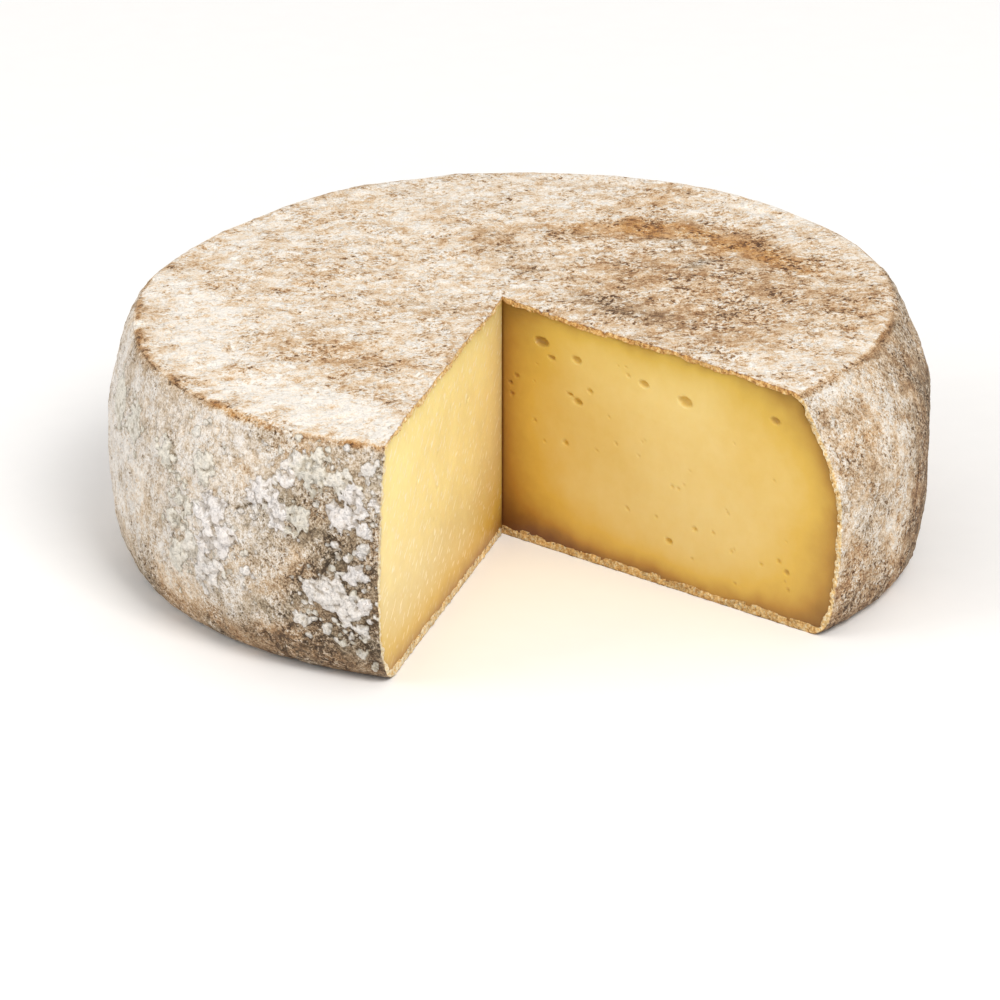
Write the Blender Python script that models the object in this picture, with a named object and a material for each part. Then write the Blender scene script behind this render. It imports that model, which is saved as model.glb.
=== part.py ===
"""A wheel of tomme with a wedge cut out of it, as one solid: rind, flat cut faces and their eyes.

Metres, +Z up. The wheel stands on z = 0, the wedge is missing towards -Y, and the origin is under
the middle of the wheel's box. A bearing is an angle round the wheel's axis, from -Y towards +X.
"""

import math

import bmesh
import bpy
import numpy as np

# The wheel
WHEEL_RADIUS = 0.100
WHEEL_HEIGHT = 0.0625
SHOULDER_RADIUS = 0.0920
FOOT_RADIUS = 0.0956
BELLY_HEIGHT = 0.0400
SHOULDER_CURVE = 1.5
FOOT_CURVE = 3.2
SHOULDER_ROUNDING = 0.0040
FOOT_ROUNDING = 0.0045

# How uneven it is: each wave is (waves in a turn, size, bearing of its crest in degrees)
OUTLINE_WAVES = ((2, 0.0128, -57.3), (3, 0.0043, -73.4))
SHOULDER_WAVES = ((1, 0.0016, -157.1), (2, 0.0045, -61.5))
FOOT_WAVES = ((1, 0.0037, 140.1),)
BELLY_WAVES = ((1, 0.0088, 151.2),)
TOP_SLOPE = 0.036
TOP_SLOPE_BEARING = -162.9

# The rind's lumps: (width, depth, seed)
LUMPS = ((0.022, 0.0006, 3), (0.012, 0.0004, 5))
LUMPS_START = 0.003
LUMPS_FULL = 0.010

# The missing wedge
WEDGE_ANGLE = 64.7
WEDGE_TIP = (-0.0024, 0.0070)
WEDGE_REACH = 0.150
WEDGE_MARGIN = 0.010

# The larger eyes in the right cut face: (distance from the tip, height, width, tallness)
RIGHT_EYES = (
    (0.0128, 0.0530, 0.0046, 0.0026),
    (0.0160, 0.0498, 0.0026, 0.0014),
    (0.0240, 0.0510, 0.0032, 0.0022),
    (0.0248, 0.0406, 0.0032, 0.0018),
    (0.0284, 0.0443, 0.0020, 0.0014),
    (0.0450, 0.0502, 0.0032, 0.0020),
    (0.0578, 0.0487, 0.0046, 0.0028),
    (0.0852, 0.0507, 0.0030, 0.0020),
    (0.0204, 0.0290, 0.0020, 0.0016),
    (0.0533, 0.0120, 0.0026, 0.0016),
    (0.0893, 0.0135, 0.0020, 0.0016),
    (0.0612, 0.0172, 0.0020, 0.0014),
)
# The left cut face has few, and they are small
LEFT_EYES = (
    (0.0300, 0.0460, 0.0018, 0.0014),
    (0.0560, 0.0330, 0.0020, 0.0014),
    (0.0720, 0.0410, 0.0018, 0.0012),
)
EYE_DEPTH_SHARE = 0.45
EYE_SEGMENTS = 8
EYE_RINGS = 6

# How finely the surface is divided
COLUMNS = 150
ROUNDING_ROWS = 3
WALL_ROWS = 14
TOP_RINGS = 10


def clear_scene():
    for leftover in list(bpy.data.objects):
        bpy.data.objects.remove(leftover, do_unlink=True)


def waves(bearing, table):
    """The sum of the table's cosine waves at each bearing, in radians."""
    return sum(size * np.cos(count * (bearing - math.radians(crest))) for count, size, crest in table)


def wall_radius(bearing, height):
    """The wall bulges out to the wheel's radius at the belly, and draws in above and below it by powers."""
    belly = BELLY_HEIGHT + waves(bearing, BELLY_WAVES)
    shoulder = SHOULDER_RADIUS + waves(bearing, SHOULDER_WAVES)
    foot = FOOT_RADIUS + waves(bearing, FOOT_WAVES)
    above = np.clip((height - belly) / (WHEEL_HEIGHT - belly), 0, 1)
    below = np.clip((belly - height) / belly, 0, 1)
    drawn_in = (WHEEL_RADIUS - shoulder) * above**SHOULDER_CURVE
    return WHEEL_RADIUS - drawn_in - (WHEEL_RADIUS - foot) * below**FOOT_CURVE


def rounded_corner(start, corner, end, rows):
    """A quadratic curve from start to end that bends towards the corner, without its two ends."""
    steps = np.linspace(0, 1, rows + 2)[1:-1]
    return [(1 - t) ** 2 * start + 2 * t * (1 - t) * corner + t**2 * end for t in steps]


def profile_rows(bearing):
    """Rows of (radius, height) for every bearing, from the flat underside up the wall and in over the top."""

    def at(radius, height):
        return np.stack([radius, np.full_like(bearing, height)], axis=-1)

    foot, foot_top = wall_radius(bearing, 0.0), wall_radius(bearing, FOOT_ROUNDING)
    shoulder = wall_radius(bearing, WHEEL_HEIGHT)
    wall_top = WHEEL_HEIGHT - SHOULDER_ROUNDING
    rest_edge = at(foot - FOOT_ROUNDING, 0.0)
    top_edge = at(shoulder - SHOULDER_ROUNDING, WHEEL_HEIGHT)
    rows = [rest_edge]
    rows += rounded_corner(rest_edge, at(foot, 0.0), at(foot_top, FOOT_ROUNDING), ROUNDING_ROWS)
    for height in np.linspace(FOOT_ROUNDING, wall_top, WALL_ROWS):
        rows.append(at(wall_radius(bearing, height), height))
    rows += rounded_corner(rows[-1], at(shoulder, WHEEL_HEIGHT), top_edge, ROUNDING_ROWS)
    for share in np.linspace(1, 0, TOP_RINGS + 1)[:-1]:
        rows.append(at(top_edge[:, 0] * share, WHEEL_HEIGHT))
    return np.array(rows)


def lattice_numbers(cells, seed):
    """A repeatable number from -1 to 1 for each cell of a cubic lattice."""
    mixed = (cells @ np.array([374761393, 668265263, 2147483647]) + seed * 974634777) & 0xFFFFFFFF
    mixed = ((mixed ^ (mixed >> 13)) * 1274126177) & 0xFFFFFFFF
    return (mixed ^ (mixed >> 16)) / 0x7FFFFFFF - 1


def smooth_noise(points, width, seed):
    """Random numbers at the corners of a lattice of that width, eased from one to the next."""
    scaled = points / width
    cell = np.floor(scaled).astype(np.int64)
    ease = scaled - cell
    ease = ease * ease * (3 - 2 * ease)
    total = np.zeros(len(points))
    for step in np.ndindex(2, 2, 2):
        weight = np.prod(np.where(step, ease, 1 - ease), axis=1)
        total += weight * lattice_numbers(cell + np.array(step), seed)
    return total


def wheel_points():
    """Rows of points: the profile swept round, sloped at the top, and lumpy away from its foot."""
    bearing = np.linspace(0, 2 * math.pi, COLUMNS, endpoint=False)
    rows = profile_rows(bearing)
    radius = rows[..., 0] * (1 + waves(bearing, OUTLINE_WAVES))
    height = rows[..., 1]
    outward = np.stack([np.sin(bearing), -np.cos(bearing)], axis=-1)
    across = radius[..., None] * outward
    crest = math.radians(TOP_SLOPE_BEARING)
    uphill = across @ np.array([math.sin(crest), -math.cos(crest)])
    height = height * (1 + TOP_SLOPE * uphill / WHEEL_HEIGHT)
    points = np.concatenate([across, height[..., None]], axis=-1)

    along = np.gradient(rows, axis=0)
    along /= np.linalg.norm(along, axis=-1, keepdims=True)
    normal = np.concatenate([along[..., 1:] * outward, -along[..., :1]], axis=-1)
    flat = points.reshape(-1, 3)
    lumps = sum(depth * smooth_noise(flat, width, seed) for width, depth, seed in LUMPS)
    fade = np.clip((flat[:, 2] - LUMPS_START) / (LUMPS_FULL - LUMPS_START), 0, 1)
    return points + (lumps * fade).reshape(height.shape)[..., None] * normal


def cheese_material():
    """Grey-brown natural rind, dry and dull."""
    material = bpy.data.materials.new("tomme_rind")
    material.use_nodes = True
    shader = material.node_tree.nodes["Principled BSDF"]
    shader.inputs["Base Color"].default_value = (0.62, 0.53, 0.42, 1)
    shader.inputs["Roughness"].default_value = 0.85
    shader.inputs["Metallic"].default_value = 0.0
    return material


def make_wheel():
    """Rings of quads, closed by one flat face underneath and a fan at the middle of the top."""
    rings = wheel_points()
    mesh = bmesh.new()
    loops = [[mesh.verts.new(point) for point in ring] for ring in rings]
    middle = mesh.verts.new((0, 0, float(rings[-1, :, 2].mean())))
    for lower, upper in zip(loops, loops[1:]):
        for i in range(COLUMNS):
            j = (i + 1) % COLUMNS
            mesh.faces.new((lower[i], lower[j], upper[j], upper[i]))
    for i in range(COLUMNS):
        mesh.faces.new((loops[-1][i], loops[-1][(i + 1) % COLUMNS], middle))
    mesh.faces.new(loops[0][::-1])
    return linked(mesh, "tomme_wheel")


def linked(mesh, name):
    """The bmesh as a named object in the scene."""
    data = bpy.data.meshes.new(name)
    mesh.to_mesh(data)
    mesh.free()
    made = bpy.data.objects.new(name, data)
    bpy.context.scene.collection.objects.link(made)
    return made


def cut_direction(side):
    """Level unit vector from the tip along a cut face: side is -1 for the left one, 1 for the right."""
    bearing = math.radians(side * WEDGE_ANGLE / 2)
    return np.array([math.sin(bearing), -math.cos(bearing)])


def make_wedge_cutter():
    """An upright prism whose sharp edge stands at the tip and whose sides run out past the rind."""
    tip = np.array(WEDGE_TIP)
    ends = [tip + cut_direction(side) * WEDGE_REACH for side in (-1, 1)]
    mesh = bmesh.new()
    foot = [mesh.verts.new((x, y, -WEDGE_MARGIN)) for x, y in (tip, *ends)]
    floor = mesh.faces.new(foot)
    raised = bmesh.ops.extrude_face_region(mesh, geom=[floor])["geom"]
    lifted = [item for item in raised if isinstance(item, bmesh.types.BMVert)]
    bmesh.ops.translate(mesh, verts=lifted, vec=(0, 0, WHEEL_HEIGHT + 3 * WEDGE_MARGIN))
    bmesh.ops.recalc_face_normals(mesh, faces=mesh.faces)
    return linked(mesh, "wedge_cutter")


def make_eye_cutter():
    """Flat ellipsoids centred on the cut faces, one for each eye."""
    mesh = bmesh.new()
    for side, eyes in ((-1, LEFT_EYES), (1, RIGHT_EYES)):
        along = cut_direction(side)
        turn = math.atan2(along[1], along[0])
        for distance, height, width, tallness in eyes:
            ball = bmesh.ops.create_uvsphere(
                mesh, u_segments=EYE_SEGMENTS, v_segments=EYE_RINGS, radius=0.5
            )["verts"]
            size = (width, width * EYE_DEPTH_SHARE, tallness)
            bmesh.ops.scale(mesh, verts=ball, vec=size)
            spin = (math.cos(turn), math.sin(turn))
            for vert in ball:
                x, y, z = vert.co
                vert.co = (
                    WEDGE_TIP[0] + along[0] * distance + x * spin[0] - y * spin[1],
                    WEDGE_TIP[1] + along[1] * distance + x * spin[1] + y * spin[0],
                    height + z,
                )
    bmesh.ops.recalc_face_normals(mesh, faces=mesh.faces)
    return linked(mesh, "eye_cutter")


def cut(target, cutter):
    """Takes the cutter's shape out of the target with an applied Boolean, and removes the cutter."""
    modifier = target.modifiers.new(cutter.name, "BOOLEAN")
    modifier.operation = "DIFFERENCE"
    modifier.solver = "EXACT"
    modifier.object = cutter
    graph = bpy.context.evaluated_depsgraph_get()
    result = bpy.data.meshes.new_from_object(target.evaluated_get(graph))
    target.modifiers.clear()
    target.data = result
    bpy.data.objects.remove(cutter, do_unlink=True)


def centre_over_origin(target):
    """Moves the mesh so that its box is centred over the origin and stands on z = 0."""
    corners = np.array([vert.co for vert in target.data.vertices])
    low, high = corners.min(axis=0), corners.max(axis=0)
    shift = np.array([(low[0] + high[0]) / 2, (low[1] + high[1]) / 2, low[2]])
    for vert in target.data.vertices:
        vert.co = np.array(vert.co) - shift


def main():
    clear_scene()
    wheel = make_wheel()
    cut(wheel, make_wedge_cutter())
    cut(wheel, make_eye_cutter())
    centre_over_origin(wheel)
    wheel.data.materials.clear()
    wheel.data.materials.append(cheese_material())
    wheel.data.shade_smooth()
    wheel.data.set_sharp_from_angle(angle=math.radians(40))


main()
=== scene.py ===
"""The looks of a wheel of tomme with a wedge cut out of it: its rind, its cut faces and their eyes.

Metres, +Z up, in the part's frame. A bearing is an angle round the wheel's axis, from -Y towards +X.
A heading is the same angle measured at the wedge's tip, so all points of one heading lie in one upright
plane. A stage says how far along the wheel's section a point is: 0 to 1 out along the underside, 1 to 2
round the foot, 2 to 3 up the wall, 3 to 4 round the shoulder, and 4 to 5 in over the top.
"""

import math

import bmesh
import bpy
import numpy as np
from mathutils import Matrix, Vector


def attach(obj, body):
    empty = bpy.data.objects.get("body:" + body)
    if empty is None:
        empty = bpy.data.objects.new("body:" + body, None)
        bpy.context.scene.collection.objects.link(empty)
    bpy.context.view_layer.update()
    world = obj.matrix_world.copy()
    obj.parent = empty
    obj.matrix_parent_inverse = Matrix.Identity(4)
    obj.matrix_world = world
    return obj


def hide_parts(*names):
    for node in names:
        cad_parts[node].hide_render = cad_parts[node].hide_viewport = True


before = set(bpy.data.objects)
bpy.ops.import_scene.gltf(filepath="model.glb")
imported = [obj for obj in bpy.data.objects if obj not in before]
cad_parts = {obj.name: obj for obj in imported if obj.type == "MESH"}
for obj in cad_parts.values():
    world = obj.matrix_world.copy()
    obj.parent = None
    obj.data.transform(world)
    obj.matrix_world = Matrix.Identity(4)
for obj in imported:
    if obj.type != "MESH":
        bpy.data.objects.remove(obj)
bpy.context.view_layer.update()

# The wheel, as the solid has it
WHEEL_RADIUS = 0.100
WHEEL_HEIGHT = 0.0625
SHOULDER_RADIUS = 0.0920
FOOT_RADIUS = 0.0956
BELLY_HEIGHT = 0.0400
SHOULDER_CURVE = 1.5
FOOT_CURVE = 3.2
SHOULDER_ROUNDING = 0.0028
FOOT_ROUNDING = 0.0045
OUTLINE_WAVES = ((2, 0.0128, -57.3), (3, 0.0043, -73.4))
SHOULDER_WAVES = ((1, 0.0016, -157.1), (2, 0.0045, -61.5))
FOOT_WAVES = ((1, 0.0037, 140.1),)
BELLY_WAVES = ((1, 0.0088, 151.2),)
TOP_SLOPE = 0.036
TOP_SLOPE_BEARING = -162.9
LUMPS = ((0.022, 0.0006, 3), (0.012, 0.0004, 5))
LUMPS_START = 0.003
LUMPS_FULL = 0.010
WEDGE_ANGLE = 64.7
WEDGE_TIP = np.array((-0.0024, 0.0070))
AXIS_AT = np.array((0.000185, -0.008693, 0.0))

# How finely the rind is divided. Its columns stand closest near the cuts and on the mouldy side: the first
# of the two lines is shares of the columns, the second the shares of the way round that they reach
COLUMNS = 981
COLUMN_SHARES = (0, 0.18, 0.55, 1)
TURN_SHARES = (0, 0.15, 0.72, 1)
FOOT_ROWS = 12
WALL_ROWS = 150
SHOULDER_ROWS = 11
TOP_RINGS = 145
UNDERSIDE_RINGS = 90
HIDDEN_COLUMNS = 60
HIDDEN_ROWS = 10
POLE_BACK = 0.0015
SUBSTITUTIONS = 8
SHARPEST_SMOOTH = math.radians(60)

# The rind where it is cut across: its thickness, and the stages between which that changes
BOTTOM_RIND = 0.0023
WALL_RIND = 0.0017
TOP_RIND = 0.0017
THICKNESS_STAGES = (0.9, 1.6, 3.2, 3.9)
RIND_WANDER = 0.0006
RIND_REACH = 0.0034
RIND_CHAINS = 12
CRUMB_HEIGHT = 0.0004
CRUMB_START = 0.0004
SUNK = 0.0007
SUNK_FROM, SUNK_TO = -0.0002, 0.0003
TIP_CALM = 0.002

# The cut faces: how far inside the skin they end, and how finely they and the back are divided
PASTE_INSET = 0.0014
FACE_ROWS = 190
RIGHT_COLUMNS = 300
LEFT_COLUMNS = 170
BACK_COLUMNS = 42
BACK_CHAINS = 60

# Where a point of the rind lies: on the skin, on a cut, or out of sight inside
SKIN, CUT, HIDDEN = 0, 1, 2

MM = 0.001

# Where a stain's soft edge starts and ends, as shares of its half length and half width
BLOT_EDGE = (0.55, 1.35)

# The rind's skin: how far under the solid its bare parts lie, how high the mould stands on it, and how much
# each size of blotch lifts it, the two smaller ones more so on the wall
BARE_LEVEL = -0.00034
COLONY_HEIGHT = 0.00140
BACK_MOULD_LIFT = 0.3
BLOTCH_LIFT = 0.00012
PATCH_LIFT = 0.00012
GRAIN_LIFT = 0.00010
WALL_LIFT = 0.00006
PIT_DEPTH = 0.00030
SHOULDER_DEPTH = 0.00015
CRACK_DEPTH = 0.0004

# Millimetres of wall to a degree, the bearing past which the wall is counted from the other side, and half
# a crack's width in millimetres
WALL_DEGREE = 1.72
WALL_SEAM = 150
CRACK_WIDTH = 0.38

# How the top was wiped: how much longer its marks are than wide, and which way, in degrees from +X. Patches
# on the wall are drawn out upwards instead, by reading their noise at places squeezed by these shares
SMEAR = 1.15
SMEAR_TURN = 6.0
WALL_DRAW = np.array([1.0, 1.0, 0.75])

# The noises' lattice: large odd numbers that scatter a cell's place, the turn of each seed's own lattice
# about a skew axis, in radians, what evens out the sum of the octaves, and how far a dome strays in its cell
LATTICE_STEPS = np.array([374761393, 668265263, 2147483647])
SEED_STEP = 974634777
FOLD_STEP = 1274126177
LOW_BITS = 0xFFFFFFFF
FIRST_TURN, TURN_STEP = 0.7, 1.3
SKEW_AXIS = Vector((0.5, 0.3, 0.8)).normalized()
OCTAVE_STEP = 17
OCTAVE_GAIN = 1.5
DOME_WANDER = 0.38

# Noises in the shapes and fields: (width in metres, seed, octaves, how much of each is kept in the next)
BROAD = (0.030, 11, 3, 0.5)
TOP_BLOTCH = (0.0075, 21, 3, 0.5)
WALL_BLOTCH = (0.0085, 22, 3, 0.5)
TOP_PATCH = (0.0030, 31, 2, 0.5)
WALL_PATCH = (0.0032, 32, 2, 0.5)
GRAIN = (0.0016, 41, 2, 0.8)
BACK_MOULD = (0.0105, 51, 4, 0.62)
CUT_WANDER = (0.0035, 71, 3, 0.5)
CRUMBS = (0.0012, 81, 2, 0.5)
FACE_SWELL = (0.018, 91, 3, 0.5)
FACE_DRAG = (0.0022, 95, 2, 0.5)
FACE_CLOUD = (0.016, 101, 2, 0.5)
FACE_RAGGED = (0.005, 103, 2, 0.5)
COLONY_LOBES = (0.0026, 131, 2, 0.7)
COLONY_NICKS = (0.0010, 132, 2, 0.7)

# Buds on the mould: (width in metres, share of places taken, seed, middle radius, spread of radii)
BUDS = (0.0021, 0.95, 61, 0.70, 0.20)
FINE_BUDS = (0.0010, 1, 66, 0.7, 0.1)

# Parts of the way round: (bearing of the middle, half width, soft end), all in degrees
LEFT_PART = (-72, 50, 25)
RIGHT_PART = (70, 60, 25)
# The far right's two parts hold painted shade, where the wall turns from the light.
FAR_RIGHT_SHADE_SPAN = (79, 9, 20)
FAR_RIGHT_SHADE_GREY_SPAN = (79, 7, 22)
PROUD_PART = (-55, 22, 6)
MOULDY_BEARINGS = (-112, -30)
CUT_SIDE_BEARINGS = (-58, -44)

# Stages over which the underside gives way to the wall, and the wall to the top
UNDER_TO_WALL = (0.95, 1.7)
WALL_TO_TOP = (3.25, 3.8)

# How dark the rind is, from 0 to 1: the top's and the wall's own tone, and what stains and parts add to it
TOP_TONE, TOP_STAIN, TOP_SPOT = 0.22, 0.95, 0.34
WALL_TONE, WALL_STAIN, CRACK_TONE = 0.27, 0.7, 0.5
LEFT_TONE, RIGHT_TONE, BACK_TONE, FOOT_TONE = -0.12, 0.05, 0.10, 0.32
# The far right's tone is painted shade, where the wall turns from the light.
FAR_RIGHT_PAINTED_SHADE, CUT_SIDE_TONE, BACK_SHOULDER_TONE = 0.55, 0.16, 0.22
DARKEST_WALL = 0.66

# How grey the parts of the wall are, from 0 to 1, and the grey of the painted shade that its far right adds
LEFT_GREY, RIGHT_GREY, BACK_GREY, FAR_RIGHT_SHADE_GREYER = 0.74, 0.34, 0.5, 0.30

# Small round colonies scattered round the large ones: how many, how far off in degrees and in millimetres,
# and their radii and whiteness, each between two ends
GRANULES = 300
GRANULE_SEED = 3
GRANULE_SPREAD = (2.3, 4.5)
GRANULE_RADII = (0.4, 1.15)
GRANULE_WHITENESS = (0.7, 1.1)

# In millimetres: the radius from which a colony's outline is fully lobed, how far the painted shade round
# its foot reaches, and a distance beyond any such shade
LOBED_RADIUS = 1.6
COLONY_SHADE_REACH = 1.3
NO_COLONY = 9.0

# The cut faces: how deep an eye is for its width, how low the swells and drag lines are, how the knife
# dragged over each face, in degrees, and how much longer than wide its marks are
EYE_DEPTH = 0.30
SWELL_HEIGHT = 0.00012
DRAG_HEIGHT = 0.00003
DRAG_TURN = {1: -4.0, -1: 141.0}
DRAG_LENGTH = 12
TIP_EASE = 0.001

# Depth of colour of the cut faces, from 0 to 1: each face's own, and bands that add to it: (strength, which
# gap it fades with, the reach in millimetres over which it falls by e). The right face's own is deeper than
# the left's as painted shade on the face turned from the light. The bands under the top and by the outer
# end are the paste's golden colour under the rind, those by the tip painted shade in the notch, those above
# the foot partly painted shade and partly a deeper band under the rind, and the height band darkens the left
# face towards its bottom.
RIGHT_SHADE = 0.25
RIGHT_BANDS = (
    (0.30, "over", 2.2), (0.12, "over", 8), (0.26, "outer", 2.4), (0.40, "outer", 13),
    (0.26, "distance", 5), (0.33, "distance", 22), (0.17, "below", 3.4), (0.07, "below", 10),
)
LEFT_SHADE = 0.02
LEFT_BANDS = (
    (0.22, "over", 2.0), (0.16, "outer", 1.6), (0.18, "distance", 9), (0.30, "below", 3.5),
    (0.56, "height", 20),
)

# Painted shade in the right face's corner between the tip and the foot: (strength, reach along, reach up)
CORNER_PAINTED_SHADE = ((0.66, 62, 3.4), (0.27, 42, 10))

# What the right face's far part and the painted shade along the tip's crease add, and where, in millimetres
# from the tip
FAR_SHADE, FAR_FROM, FAR_TO = 0.04, 50, 80
TIP_CREASE_PAINTED_SHADE, TIP_WIDTH = 0.45, 0.45

# The shade past which it deepens ever more slowly, and how far in the olive reaches, in millimetres
SHADE_KNEE = 0.75
OLIVE_UNDER_TOP, OLIVE_AT_END = 9, 6

# How much of the light the whitest rind gives back
PAPER = 0.87

# Stains on the top, in millimetres from the wheel's axis, +X to the right and +Y to the back:
# (x, y, half length, half width, turn in degrees, strength)
TOP_TONES = (
    (-81, 4, 34, 11, 85, -0.16),
    (-67, -47, 17, 11, -35, -0.20),
    (-55, -64, 12, 7, 60, -0.18),
    (10, 82, 46, 11, 0, -0.03),
    (-50, -22, 22, 9, -45, 0.17),
    (-20, 4, 16, 9, -35, 0.11),
    (-38, 30, 28, 14, 20, 0.06),
    (6, 33, 17, 6, -75, 0.14),
    (10, 48, 15, 5, 10, 0.12),
    (36, 44, 20, 7, 0, 0.22),
    (58, 37, 20, 10, -35, 0.22),
    (71, 18, 18, 9, -62, 0.20),
    (32, 22, 24, 16, 0, 0.10),
    (56, 62, 15, 8, 25, 0.14),
    (22, -8, 18, 7, -48, 0.07),
    (38, -21, 11, 7, -45, 0.06),
    (50, -10, 42, 33, -10, 0.23),
    (62, -29, 14, 6, -10, -0.06),
    (53, -50, 13, 8, 40, -0.03),
    (78, 55, 16, 8, -40, -0.06),
)
TOP_OCHRES = (
    (34, 46, 15, 5, -5, 0.9),
    (51, 40, 14, 6.5, -38, 1.35),
    (64, 26, 13, 6.5, -52, 1.35),
    (73, 10, 13, 5, -58, 0.9),
    (-20, 73, 10, 4, 10, 0.35),
    (-4, 67, 8, 4, -10, 0.3),
    (55, 64, 13, 6, 35, 0.3),
    (-48, -22, 20, 8, -45, 0.3),
    (6, 44, 12, 8, 20, 0.3),
)
TOP_GREYS = (
    (10, 80, 60, 16, 0, 0.35),
    (8, 32, 18, 8, -75, 0.5),
    (50, 14.5, 5, 2.8, 20, 1.3),
    (49, 33, 7, 3, -30, 0.9),
    (28, 43, 5, 2.5, 0, 0.8),
    (22, -8, 16, 6, -48, 0.7),
    (-18, 6, 10, 6, -30, 0.5),
    (-55, 5, 30, 25, 0, 0.15),
)
TOP_SPOTS = (
    (50, 14.5, 4.6, 2.6, 20, 0.30),
    (50, 33.5, 3.4, 1.8, -30, 0.34),
    (61, 34, 2.6, 1.8, 0, 0.24),
    (29, 43.5, 3.0, 1.6, 0, 0.28),
    (21, -10, 3.0, 2.4, -40, 0.32),
    (15.5, -3, 2.6, 1.8, -40, 0.26),
    (33, -16, 3.4, 2.0, -40, 0.24),
    (27, -24, 2.6, 2.0, -20, 0.26),
    (24, 16, 4.4, 1.8, -15, -0.30),
    (44, 14, 2.6, 1.6, 20, -0.26),
    (-31, 26, 5.0, 3.0, 15, -0.18),
    (-10, 30, 5.0, 2.4, 20, -0.18),
    (-47, -18, 2.6, 1.4, -40, 0.24),
    (-52, -12, 2.2, 1.4, -10, 0.22),
    (-38, -32, 2.4, 1.4, -30, 0.20),
)

# Stains along the shoulder: (stages where it starts, is full, starts to end and ends), (bearing, half width
# and soft end in degrees), its least share where the rind is pale, and how much darker, rustier, greyer and
# deeper it is
SHOULDER_STAINS = (
    ((2.70, 3.30, 3.60, 4.20), (-92, 24, 12), 0.20, 0.22, 0.4, 0.3, 1),
    ((3.00, 3.35, 3.55, 3.90), (-48, 12, 8), 0.30, 0.18, 0.9, 0, 0),
    ((3.18, 3.45, 3.55, 3.82), (46, 18, 8), 0.45, 0.34, 0.2, 0, 1),
    ((3.18, 3.45, 3.55, 3.82), (84, 20, 12), 0.30, 0.16, 0.3, 0, 0),
    ((3.30, 3.60, 3.90, 4.10), (-92, 22, 12), 0, 0.22, 0.3, 0.3, 0),
)
BACK_SHOULDER = (2.70, 3.30, 3.60, 4.20)

# Stains on the wall: (bearing, height, half length round the wheel, half width, turn, strength)
WALL_TONES = (
    (-92, 42, 16, 20, 0, -0.20),
    (-80, 45, 12, 10, 0, -0.08),
    (-62, 36, 12, 9, 0, -0.06),
    (-42.5, 33, 6, 6, 0, 0.19),
    (-48, 24, 6, 5, 0, 0.15),
    (-42, 11, 15, 8, 10, 0.24),
    (-37, 24, 4, 12, 0, 0.17),
    (-56, 5, 22, 6, 0, 0.16),
    (-77, 6, 14, 4, 0, 0.20),
    (-57, 27, 7, 5, 30, 0.10),
    (-78, 48, 3.5, 2.4, 0, 0.16),
    (-80.5, 39, 3, 2.4, 0, 0.16),
    (-75, 39, 4, 3, 0, 0.10),
    (-76, 27, 8, 5, 0, 0.10),
    (-56.5, 51, 4, 3, 20, 0.16),
    (-55, 57, 5, 3, 0, 0.12),
    (-88, 27, 6, 3, 0, 0.12),
    (37.5, 18, 6, 9, 0, 0.20),
    (36, 45, 3, 8, 0, 0.12),
    (40, 58, 8, 4, 0, -0.12),
    (49, 50, 5, 5, 0, -0.10),
    (57, 20, 7, 7, 0, 0.20),
    (61, 53, 6, 5, 0, 0.12),
)
WALL_OCHRES = (
    (41, 44, 7, 12, 0, 0.45),
    (60, 50, 5, 9, 20, 0.35),
    (-76, 34, 7, 8, 0, 0.15),
    (-56, 47, 5, 5, 0, 0.25),
    (-48, 56, 6, 3, 0, 0.35),
    (-50, 26, 9, 8, 0, 0.25),
    (-72, 10, 20, 8, 0, 0.40),
    (-52, 7, 26, 7, 0, 0.50),
)

# Fine cracks in the wall, each from one bearing and height to another
CRACKS = ((-57.9, 38.4, -54.2, 42.2), (-42.6, 38.0, -42.0, 33.0), (-42.0, 33.0, -43.2, 29.5))

# White mould colonies on the left part of the wall: (bearing, height, radius in millimetres, whiteness)
COLONIES = (
    (-61.4, 36.1, 5.2, 1.0), (-58.8, 32.4, 3.0, 1.0), (-62.1, 29.3, 3.6, 1.0), (-59.6, 28.4, 2.2, 1.0),
    (-62.5, 20.5, 4.6, 0.9), (-61.0, 23.4, 2.4, 0.9), (-53.8, 44.5, 3.2, 1.0), (-51.1, 44.9, 1.6, 1.0),
    (-50.3, 40.5, 3.2, 1.0), (-47.6, 40.5, 3.6, 0.6), (-49.2, 49.2, 2.3, 1.0), (-50.0, 52.6, 1.8, 0.9),
    (-48.4, 54.4, 2.2, 0.8), (-45.8, 52.2, 4.6, 0.6), (-42.1, 50.9, 3.5, 0.7), (-39.6, 48.0, 3.1, 1.1),
    (-38.4, 44.1, 1.8, 1.1), (-42.3, 43.6, 2.3, 1.0), (-40.7, 41.6, 3.3, 1.0), (-38.1, 40.3, 2.1, 1.0),
    (-37.8, 36.1, 1.9, 0.9), (-39.0, 29.9, 2.9, 1.0), (-41.0, 28.9, 1.0, 0.8), (-37.4, 29.0, 1.3, 1.0),
    (-45.2, 24.9, 2.6, 0.9), (-41.8, 23.0, 4.2, 0.9), (-42.8, 26.7, 1.7, 0.9), (-39.9, 19.9, 3.3, 0.9),
    (-37.3, 21.7, 2.1, 1.0), (-46.5, 16.1, 2.1, 0.8), (-43.2, 14.9, 1.6, 0.8), (-38.1, 16.0, 2.3, 0.9),
    (-37.8, 53.6, 2.3, 0.9), (-38.5, 9.0, 1.7, 0.7), (-68.6, 21.7, 4.0, 0.6), (-65.7, 54.0, 1.6, 0.7),
    (-90.0, 48.0, 6.0, 0.5), (-83.0, 46.5, 5.0, 0.6), (-63.5, 46.7, 4.0, 0.6), (-55.5, 24.9, 1.7, 0.9),
    (-69.5, 31.0, 3.0, 0.6), (-67.0, 36.0, 3.0, 0.5), (-66.0, 26.0, 3.0, 0.7), (-72.0, 46.0, 4.0, 0.5),
)

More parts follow.
